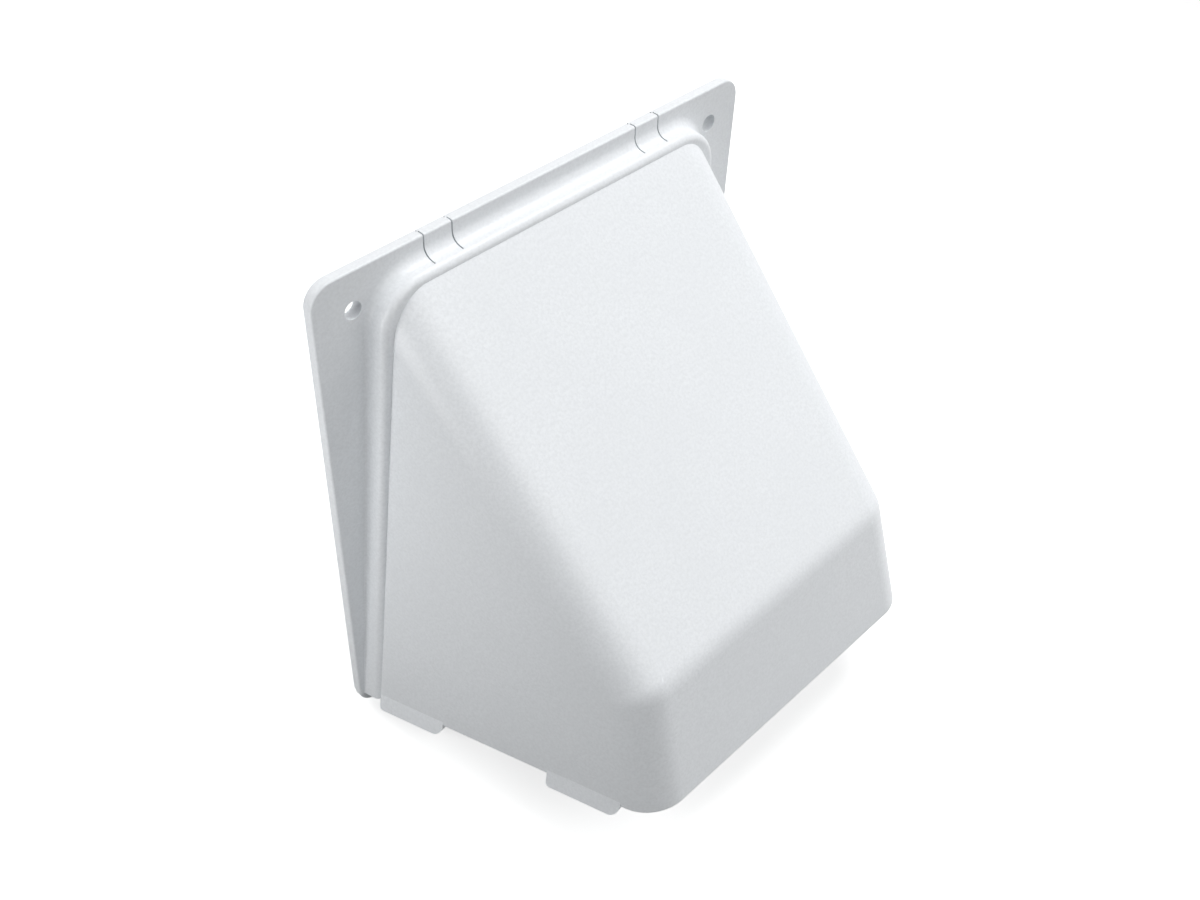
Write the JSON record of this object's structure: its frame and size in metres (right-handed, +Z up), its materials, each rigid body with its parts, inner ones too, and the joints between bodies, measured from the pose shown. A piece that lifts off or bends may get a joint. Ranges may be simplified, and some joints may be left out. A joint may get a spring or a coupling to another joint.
{
  "type": "vent hood",
  "caption": "Hooded wall vent: a flanged cowl with a sloping top and an open mouth below, a round duct spigot behind, a hinged back-draught flap and a bird guard.",
  "frame": {"origin": "on the axis of the duct spigot, in the plane of the wall", "axes": "+Y along the duct into the wall, +Z up, so the cowl stands out towards -Y and +X is to the right seen from the front"},
  "size_m": [0.161, 0.1442, 0.163],
  "materials": {
    "hood_plastic": "white satin moulded plastic with a fine grain",
    "plate_plastic": "white satin moulded plastic",
    "flap_plastic": "white satin moulded plastic",
    "guard_plastic": "white satin moulded plastic"
  },
  "bodies": {
    "housing": {"hood": "hood_plastic", "duct_plate": "plate_plastic", "bird_guard": "guard_plastic"},
    "flap": {"damper_flap": "flap_plastic"}
  },
  "joints": [
    {"name": "flap_hinge", "type": "hinge", "parent": "housing", "child": "flap", "pos_m": [0, -0.0105, 0.0545], "axis": [-1, 0, 0], "range_deg": [0, 45]}
  ]
}
